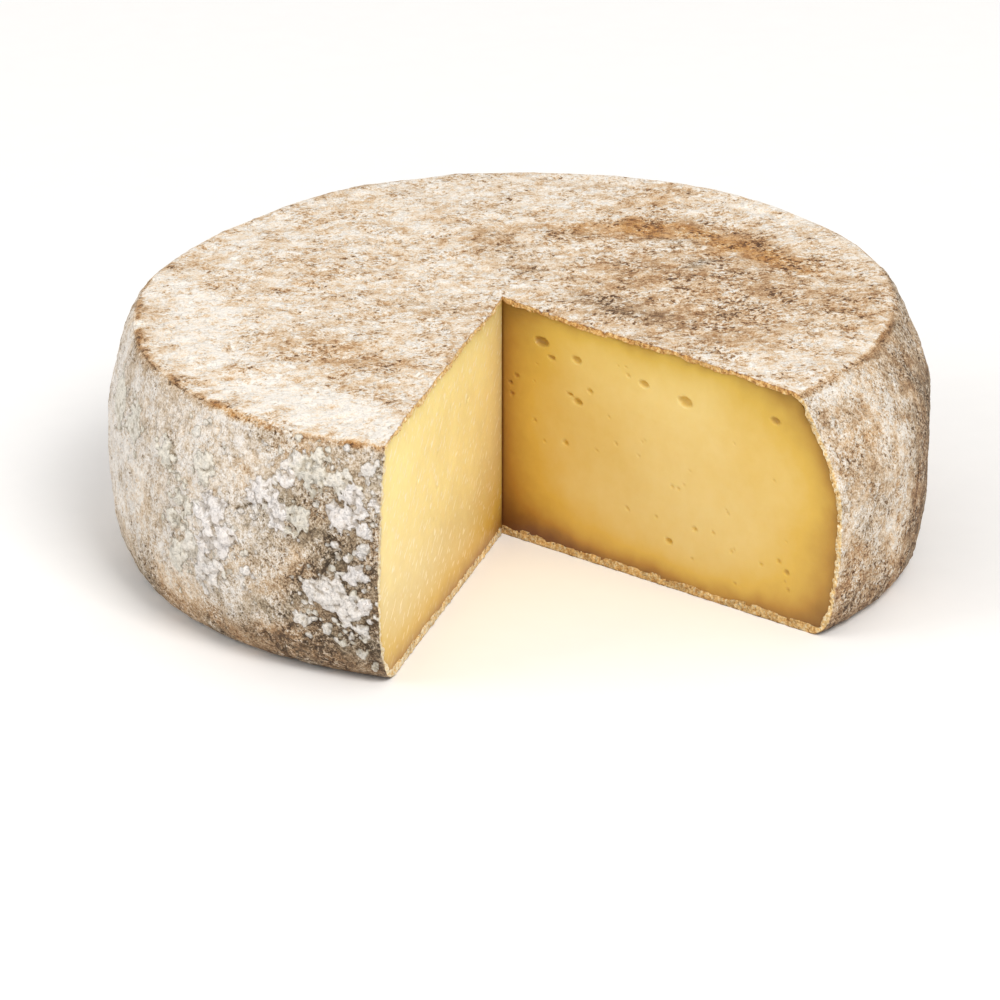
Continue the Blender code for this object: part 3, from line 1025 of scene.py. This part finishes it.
def inner_line(side):
    """The rind's inner line in a cut face: distances from the tip and heights, from foot to shoulder."""
    column = 0 if side > 0 else -1
    distance, skin, outward = outside_grid()
    level = outward[:, column, :2] @ way(HEADINGS[column])
    spot = skin[:, column] + outward[:, column] * lumps_at(skin[:, column])[:, None]
    line = np.stack([distance[:, column], spot[:, 2]], axis=1)
    line -= PASTE_INSET * np.stack([level, outward[:, column, 2]], axis=1)
    steps = np.concatenate([[0], np.cumsum(np.linalg.norm(np.diff(line, axis=0), axis=1))])
    at = np.linspace(0, steps[-1], FACE_ROWS)
    return np.interp(at, steps, line[:, 0]), np.interp(at, steps, line[:, 1])


def top_height(distance, side):
    """Height of the top over a cut face, at distances from the tip."""
    heading = np.full(distance.shape, HALF_WEDGE * side)
    spot = placed(distance, np.full(distance.shape, WHEEL_HEIGHT), heading)
    return spot[..., 2] + lumps_at(spot.reshape(-1, 3)).reshape(distance.shape)


def face_grid(side, columns):
    """Level distances and heights of a cut face: the rows keep the levels of the inner line's points between
    its foot and its top, and the columns' distances shrink in even shares to the tip."""
    ends, heights = inner_line(side)
    share = np.linspace(0, 1, columns)
    distance = ends[:, None] * share[None, :]
    lowest, highest = heights[0], heights[-1]
    level = (heights - lowest) / (highest - lowest)
    top = top_height(np.minimum(distance, ends[-1]), side) - PASTE_INSET
    top = top - (top[-1, -1] - highest) * share[None, :]
    return distance, lowest + level[:, None] * (top - lowest)


def tiny_eyes(side):
    """Pinhole eyes scattered over a cut face: (distance, height, width, tallness), in millimetres."""
    draw = np.random.RandomState(TINY_EYE_SEED + side)
    count = TINY_EYES[side]
    sizes = draw.uniform(*TINY_EYE_SIZES, count)
    distances = draw.uniform(*TINY_EYE_DISTANCES, count)
    heights = draw.uniform(*TINY_EYE_HEIGHTS, count)
    return np.stack([distances, heights, sizes, sizes * TINY_EYE_SHAPE], axis=1)


def eye_depth(distance, height, eyes):
    """Hollows left by gas, as shares of one that is a millimetre deep: each a shallow flattened bowl."""
    depth = np.zeros(distance.shape)
    for at, up, wide, tall in eyes:
        gap = ((distance / MM - at) / (wide / 2)) ** 2 + ((height / MM - up) / (tall / 2)) ** 2
        depth = np.maximum(depth, EYE_DEPTH * wide * np.clip(1 - gap, 0, 1) ** 0.7)
    return depth


def face_rows(side, columns, eyes):
    """Rows of a cut face: point, distance, height, eye depth, side, and how far the face's top, bottom and
    outer end are. Low swells and the knife's drag lines, noise drawn out along its way, leave it uneven."""
    distance, height = face_grid(side, columns)
    spot = WEDGE_TIP + distance[..., None] * way(HALF_WEDGE * side)
    flat = np.concatenate([spot, height[..., None]], axis=-1).reshape(-1, 3)
    face = np.stack([distance, height, np.zeros(distance.shape)], axis=-1).reshape(-1, 3)
    turned_back = np.array(Matrix.Rotation(math.radians(DRAG_TURN[side]), 3, "Z"))
    drag = face @ turned_back / (DRAG_LENGTH, 1, 1)
    swell = SWELL_HEIGHT * fractal(flat, *FACE_SWELL) + DRAG_HEIGHT * fractal(drag, *FACE_DRAG)
    eye = eye_depth(distance, height, np.concatenate([np.array(eyes), tiny_eyes(side)]))
    depth = (eye * MM - swell.reshape(eye.shape)) * eased(distance, 0, TIP_EASE)
    depth[:, -1] = depth[0] = depth[-1] = 0
    points = flat.reshape(*height.shape, 3) - depth[..., None] * cut_normal(side)
    ends = height[-1:] - height, height - height[:1], distance[:, -1:] - distance
    more = np.stack([distance, height, eye, np.full(eye.shape, float(side)), *ends], axis=-1)
    return np.concatenate([points, more], axis=-1)


def back_rows(first, last, widest):
    """A chain round the back, under the rind, from a point of the right face to its like in the left one:
    both its height and its distance from the tip, as a share of the outline's, go evenly."""
    share = np.linspace(0, 1, BACK_COLUMNS + 2)[1:-1]
    first_reach, last_reach = first[3] / widest[0], last[3] / widest[-1]
    reach_share = first_reach + (last_reach - first_reach) * share
    heading = FIRST_HEADING + (LAST_HEADING - FIRST_HEADING) * share
    rows = np.zeros((BACK_COLUMNS, 10))
    rows[:, 3] = reach_share * np.interp(heading, HEADINGS, widest)
    rows[:, 4] = rows[:, 2] = first[4] + (last[4] - first[4]) * share
    rows[:, :2] = WEDGE_TIP + rows[:, 3:4] * way(heading)
    return rows


def bands(table, gaps):
    """The sum of a table's bands, each its strength where its gap is none, falling by e over its reach."""
    return sum(strength * np.exp(-gaps[name] / length) for strength, name, length in table)


def paste_looks(rows):
    """Colour fields of the paste. It is palest in its middle, golden in soft bands under the rind, and
    deepest towards the tip and the foot: painted shade in the notch's corner and above the foot, where it is
    partly also a deeper band under the rind. The right face is painted deeper than the left as the shade of a
    face turned from the light, and the eyes are painted darker as shade in their hollows. Past its knee the
    shade nears 1 ever more slowly, by powers of e."""
    distance, height, eye, side, over, below, outer = (rows[:, 3:10] / (MM, MM, 1, 1, MM, MM, MM)).T
    face = np.stack([distance * side, height, np.zeros(len(rows))], axis=1) * MM
    ragged = 0.8 * fractal(face, *FACE_RAGGED)
    over, below, outer = (np.maximum(gap + ragged, 0) for gap in (over, below, outer))
    gaps = {"distance": distance, "height": height, "over": over, "below": below, "outer": outer}
    right = np.clip(side, 0, 1)
    # Painted shade: the right face's deeper own shade, its bands by the tip, above the foot (there partly a
    # real deeper band) and in its corner.
    shade_right = RIGHT_SHADE + bands(RIGHT_BANDS, gaps) + FAR_SHADE * eased(distance, FAR_FROM, FAR_TO)
    for strength, along, up in CORNER_PAINTED_SHADE:
        shade_right += strength * np.exp(-distance / along - below / up)
    shade_left = LEFT_SHADE + bands(LEFT_BANDS, gaps)
    shade = shade_left + (shade_right - shade_left) * right
    # Painted shade along the crease where the two faces meet at the tip.
    shade += TIP_CREASE_PAINTED_SHADE * np.exp(-((distance / TIP_WIDTH) ** 2)) + 0.04 * fractal(face, *FACE_CLOUD)
    # Painted shade in the hollows of the eyes.
    shade += 0.15 * np.minimum(eye * 1.6, 1)
    room = 1 - SHADE_KNEE
    shade = np.where(shade > SHADE_KNEE, 1 - room * np.exp((SHADE_KNEE - shade) / room), shade)
    olive = (0.4 + 0.6 * right) * np.exp(-over / OLIVE_UNDER_TOP)
    olive += 0.5 * right * np.exp(-outer / OLIVE_AT_END)
    return {"shade": np.clip(shade, 0, 1), "side": right, "along": rows[:, 3], "up": rows[:, 4],
            "olive": np.clip(olive, 0, 1)}


def make_paste():
    """One closed body: the two cut faces, which meet at the tip, and a back that sweeps round from the border
    of one to that of the other, under the rind."""
    made = Chains()
    right_rows = face_rows(1, RIGHT_COLUMNS, RIGHT_EYES)
    left_rows = face_rows(-1, LEFT_COLUMNS, LEFT_EYES)
    right = [made.add(row) for row in right_rows]
    left = [np.concatenate([chain[:1], made.add(row[1:])]) for chain, row in zip(right, left_rows)]
    made.join_all(right)
    made.join_all(left)
    borders = {}
    for side, chains in ((1, right), (-1, left)):
        outer = [chain[-1] for chain in chains]
        border = np.concatenate([chains[0][:-1], outer, chains[-1][-2::-1]])
        borders[side] = border
    rows = np.concatenate(made.rows)
    widest = outside_grid()[0].max(axis=0)
    shares = np.linspace(0, 1, BACK_CHAINS)[1:-1]
    sweep = [borders[1][:1]]
    for share in shares:
        ends = [rows[border[round(share * (len(border) - 1))]] for border in (borders[1], borders[-1])]
        sweep.append(made.add(back_rows(*ends, widest)))
    sweep.append(borders[1][-1:])
    made.join_all(sweep)
    for side, at in ((1, 0), (-1, -1)):
        made.join(borders[side], np.array([chain[at] for chain in sweep]))
    rows, triangles = made.table()
    return finished("paste", rows[:, :3], triangles, paste_looks(rows))


# Materials


class Signal:
    """A number in a material. Its operators add Math nodes, so that formulas read as formulas."""

    def __init__(self, recipe, socket):
        self.recipe, self.socket = recipe, socket

    def math(self, operation, *values):
        """A Math node on the values."""
        return self.recipe.node("ShaderNodeMath", {"operation": operation}, *values)

    def __add__(self, other):
        return self.math("ADD", self, other)

    def __sub__(self, other):
        return self.math("SUBTRACT", self, other)

    def __rsub__(self, other):
        return self.math("SUBTRACT", other, self)

    def __mul__(self, other):
        return self.math("MULTIPLY", self, other)

    __radd__ = __add__
    __rmul__ = __mul__

    def eased(self, low, high):
        """0 below low, 1 above high, and an even S between."""
        return self.recipe.node("ShaderNodeMapRange", {"interpolation_type": "SMOOTHSTEP"}, self, low, high)


def tint(red, green, blue):
    """The share of light that a surface gives back where it looks like this on a screen, 0 to 255, in a
    studio that lights level ground a little past full white: the screen's own curve, undone."""
    def linear(value):
        """The light for one screen value: a straight line near black and a power above it."""
        value /= 255
        return PAPER * (value / 12.92 if value <= 0.04045 else ((value + 0.055) / 1.055) ** 2.4)
    return (linear(red), linear(green), linear(blue), 1.0)


def set_stops(ramp, stops):
    """Gives a ramp its stops of (share, red, green, blue)."""
    while len(ramp.elements) < len(stops):
        ramp.elements.new(0.5)
    for element, (share, *colour) in zip(ramp.elements, stops):
        element.position = share
        element.color = tint(*colour)


class Recipe:
    """One procedural material under construction."""

    def __init__(self, name, roughness):
        self.material = bpy.data.materials.new(name)
        self.material.use_nodes = True
        self.tree = self.material.node_tree
        self.shader = self.tree.nodes["Principled BSDF"]
        self.shader.inputs["Roughness"].default_value = roughness
        self.place = self.node("ShaderNodeTexCoord", {}, output="Object")

    def feed(self, socket, value):
        """Links a signal to a socket, or sets the socket to a plain value."""
        if isinstance(value, Signal):
            self.tree.links.new(value.socket, socket)
        else:
            socket.default_value = value

    def node(self, kind, settings, *values, output=None, **named):
        """Adds a node: its settings first, then the values or links of its sockets, by order or by name. Its
        signal is its first output that is in use, unless another is named."""
        made = self.tree.nodes.new(kind)
        for setting, value in settings.items():
            if setting == "stops":
                set_stops(made.color_ramp, value)
            else:
                setattr(made, setting, value)
        in_use = [socket for socket in made.inputs if socket.enabled]
        for socket, value in zip(in_use, values):
            self.feed(socket, value)
        for socket, value in named.items():
            self.feed(made.inputs[socket], value)
        outputs = [socket for socket in made.outputs if socket.enabled]
        return Signal(self, made.outputs[output] if output else outputs[0])

    def field(self, name):
        """One of the piece's own fields."""
        return self.node("ShaderNodeAttribute", {"attribute_name": name}, output="Fac")

    def laid(self, turn, scale, place=None):
        """Coordinates turned about Z, in degrees, and then stretched."""
        spun = self.node("ShaderNodeMapping", {"vector_type": "POINT"}, Vector=place or self.place,
                         Rotation=(0, 0, math.radians(turn)))
        return self.node("ShaderNodeMapping", {"vector_type": "POINT"}, Vector=spun, Scale=scale)

    def noise(self, width, detail, roughness, place=None):
        """Noise from 0 to 1 whose blotches are about that wide."""
        return self.node("ShaderNodeTexNoise", {}, Vector=place or self.place, Scale=1 / width,
                         Detail=detail, Roughness=roughness, output="Fac")

    def mix(self, share, one, other):
        """From colour one to colour other as the share goes from 0 to 1."""
        return self.node("ShaderNodeMix", {"data_type": "RGBA"}, share, one, other)

    def blend(self, share, one, other):
        """From number one to number other as the share goes from 0 to 1."""
        return one + (other - one) * share

    def ramp(self, share, stops):
        """A colour for each share from 0 to 1, read between the stops."""
        return self.node("ShaderNodeValToRGB", {"stops": stops}, share)

    def bump(self, height, distance, strength):
        """The way the surface faces where its height varies by the distance."""
        return self.node("ShaderNodeBump", {}, Strength=strength, Distance=distance, Height=height,
                         output="Normal")

    def finish(self, **sockets):
        """Feeds the shader, and gives the material."""
        for name, value in sockets.items():
            self.feed(self.shader.inputs[name.replace("_", " ")], value)
        return self.material


def rind_material():
    """Dry rind: a depth of colour, its tone less soft and fine noise, plus pits and less pale flakes, partly
    the rind's own and partly painted highlights, is read in a warm, a cool and a rusty ramp, which grey and
    ochre mix. Mould covers it where its field and the noise together pass a level, with painted shade in the
    gaps between its buds, and the cut edge has crumbs of its own, painted lighter on the left cut, where the
    light falls on it."""
    recipe = Recipe("natural_rind", RIND_ROUGHNESS)
    tone, grey, ochre, mould, cream, wall, crumb, inset, lit, low = (recipe.field(name) for name in (
        "tone", "grey", "ochre", "mould", "cream", "wall", "crumb", "inset", "lit", "low"))
    wiped = recipe.laid(-SMEAR_TURN, (1 / SMEAR, 1, 1))
    soft, fine, marks, chips = (recipe.blend(wall, recipe.noise(*on_top, wiped), recipe.noise(*on_wall))
                                for on_top, on_wall in (SOFT, FINE, MARKS, CHIPS))
    grit = recipe.noise(*GRIT)
    vary = (recipe.noise(*CONTRAST).eased(0.40, 0.60) * 1.1 + 0.4) * (tone * 0.8 + 0.75)
    pits = (marks + tone * 0.18).eased(0.65, 0.70) * vary
    # Pale raised flakes: partly the rind's own, partly painted highlights.
    flake_and_highlight = (chips - tone * 0.10).eased(0.53, 0.56)
    depth = tone * 0.95 + 0.05 - (soft - 0.5) * 1.4 - (fine - 0.5) * vary * (1.5 - wall * 0.4)
    depth = depth - flake_and_highlight * 0.14 + pits * 0.30 - (grit - 0.5) * 0.8

    colour = recipe.mix(grey, recipe.ramp(depth, WARM_RIND), recipe.ramp(depth, COOL_RIND))
    rusty = ochre * (chips * 2.4 - 0.5).eased(0.1, 0.9)
    colour = recipe.mix(rusty, colour, recipe.ramp(depth, RUSTY_RIND))

    grown = (mould + (fine - 0.5) * 1.1 + (chips - 0.5) * 0.9).eased(0.40, 0.54)
    # Painted shade in the gaps between the mould's buds, where the noise leaves them.
    gap = (mould * 0.9 + (marks - 0.5) * 1.2 + (chips - 0.5) * 0.8).eased(0.84, 0.56)
    young = recipe.mix(gap, tint(*YOUNG_MOULD), tint(*YOUNG_MOULD_SHADED))
    old = recipe.mix(gap, tint(*OLD_MOULD), tint(*OLD_MOULD_SHADED))
    colour = recipe.mix(grown * (chips * 1.2 + 0.28), colour, recipe.mix(cream, young, old))

    # The left cut's crumbs are painted lighter, as if lit.
    grits = recipe.noise(*CUT_GRITS) + wall * (1 - low) * 0.15 + lit * 0.10 + low * 0.07 + 0.03
    grits = grits - (1 - inset.eased(0.0, 0.16)) * (1 - wall) * 0.16
    colour = recipe.mix(crumb, colour, recipe.ramp(grits, CUT_RIND))
    height = soft * 1.4 + fine * vary * 1.1 + flake_and_highlight * 0.6 + grit * 0.2 - pits * 0.9
    height = (height + grown * (0.5 + chips * 1.5)) * (wall * 0.4 + 0.6)
    return recipe.finish(Base_Color=colour, Normal=recipe.bump(height, RIND_BUMP, RIND_BUMP_STRENGTH))


def paste_material():
    """Cut cheese: its shade and a little noise are read in a golden ramp and in an olive one, which the olive
    field mixes. The left face has pale flecks, drawn out the way the knife went."""
    recipe = Recipe("cheese_paste", PASTE_ROUGHNESS)
    for socket, value in PASTE_GLOW.items():
        recipe.shader.inputs[socket].default_value = value
    shade, side, along, up, olive = (recipe.field(name) for name in ("shade", "side", "along", "up", "olive"))
    face = recipe.node("ShaderNodeCombineXYZ", {}, along, up, side * 0.1)
    fleck = recipe.noise(*FLECKS, recipe.laid(-DRAG_TURN[-1], (FLECK_STRETCH, 1, 1), face))
    mottle = recipe.noise(*MOTTLE)
    # The shade field holds the paste's own golden colour and painted shade alike.
    depth = shade + (mottle - 0.5) * 0.10 + (fleck - 0.5) * (1 - side) * 0.12
    colour = recipe.mix(olive * 0.50, recipe.ramp(depth, PASTE), recipe.ramp(depth, OLIVE_PASTE))
    pale = fleck.eased(0.59, 0.68) * (1 - side) * (0.95 - shade * 1.2)
    colour = recipe.mix(pale, colour, tint(*FLECK))
    height = fleck * (1 - side) * 0.6 + mottle * 0.7
    return recipe.finish(Base_Color=colour, Normal=recipe.bump(height, PASTE_BUMP, PASTE_BUMP_STRENGTH))


def floor_material():
    """Pale paper, from one tint to the other with a broad noise."""
    recipe = Recipe("pale_floor", FLOOR_ROUGHNESS)
    one, other = FLOOR_TINTS
    return recipe.finish(Base_Color=recipe.mix(recipe.noise(*FLOOR_GRAIN), tint(*one), tint(*other)))


# The studio

CAMERA_BEARING = math.radians(-16.55)
CAMERA_RISE = math.radians(21.55)
CAMERA_DISTANCE = 1.5
CAMERA_LENS = 220.0
SENSOR_WIDTH = 36.0
AIM_LEFT = 0.0048
AIM_UP = 0.0104

# Soft boxes: (name, bearing, rise, distance, size, power, colour), all facing a spot over the floor
SOFT_BOXES = (
    ("key", 8, 46, 3.0, 1.1, 54, (1.0, 0.985, 0.96)),
    ("fill", -90, 28, 3.0, 1.6, 22, (1.0, 1.0, 1.0)),
)
LIT_HEIGHT = 0.03
ROOM_COLOUR = (1.0, 0.99, 0.98, 1.0)
ROOM_LIGHT = 0.68
FLOOR_REACH = 6


def direction(bearing, rise):
    """Unit vector towards a bearing, raised by an angle, both in radians."""
    return Vector((math.sin(bearing) * math.cos(rise), -math.cos(bearing) * math.cos(rise), math.sin(rise)))


def facing(towards):
    """Turns an object so that it looks back along the direction it stands in."""
    return towards.to_track_quat("Z", "Y")


def make_camera():
    """A long lens that looks down at the wheel, aimed a little beside its middle."""
    back = direction(CAMERA_BEARING, CAMERA_RISE)
    turn = facing(back)
    data = bpy.data.cameras.new("camera")
    data.lens = CAMERA_LENS
    data.sensor_width = SENSOR_WIDTH
    camera = bpy.data.objects.new("camera", data)
    aim = Vector(AXIS_AT) + turn @ Vector((-AIM_LEFT, AIM_UP, 0))
    camera.location = aim + back * CAMERA_DISTANCE
    camera.rotation_mode = "QUATERNION"
    camera.rotation_quaternion = turn
    bpy.context.scene.collection.objects.link(camera)
    bpy.context.scene.camera = camera


def add_light(name, bearing, rise, distance, size, power, colour):
    """A square soft box that faces the wheel."""
    data = bpy.data.lights.new(name, "AREA")
    data.size = size
    data.energy = power
    data.color = colour
    light = bpy.data.objects.new(name, data)
    back = direction(math.radians(bearing), math.radians(rise))
    light.location = back * distance + Vector((0, 0, LIT_HEIGHT))
    light.rotation_mode = "QUATERNION"
    light.rotation_quaternion = facing(back)
    bpy.context.scene.collection.objects.link(light)


def make_studio():
    """An even bright room, two soft boxes and a pale floor."""
    scene = bpy.context.scene
    scene.view_settings.view_transform = "Standard"
    world = bpy.data.worlds.new("studio")
    scene.world = world
    world.use_nodes = True
    background = world.node_tree.nodes["Background"]
    background.inputs["Color"].default_value = ROOM_COLOUR
    background.inputs["Strength"].default_value = ROOM_LIGHT
    for light in SOFT_BOXES:
        add_light(*light)
    mesh = bpy.data.meshes.new("floor")
    corners = [(x * FLOOR_REACH, y * FLOOR_REACH, 0) for x, y in ((-1, -1), (1, -1), (1, 1), (-1, 1))]
    mesh.from_pydata(corners, [], [(0, 1, 2, 3)])
    floor = bpy.data.objects.new("floor", mesh)
    mesh.materials.append(floor_material())
    scene.collection.objects.link(floor)


def main():
    """Makes the pieces, gives them their materials and slots, and sets up the picture."""
    rinds = make_rinds()
    paste = make_paste()
    rind, cheese = rind_material(), paste_material()
    for piece in rinds:
        piece.data.materials.append(rind)
    paste.data.materials.append(cheese)
    for piece in (*rinds, paste):
        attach(piece, "root")
        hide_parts("tomme_wheel")
    make_camera()
    make_studio()


main()
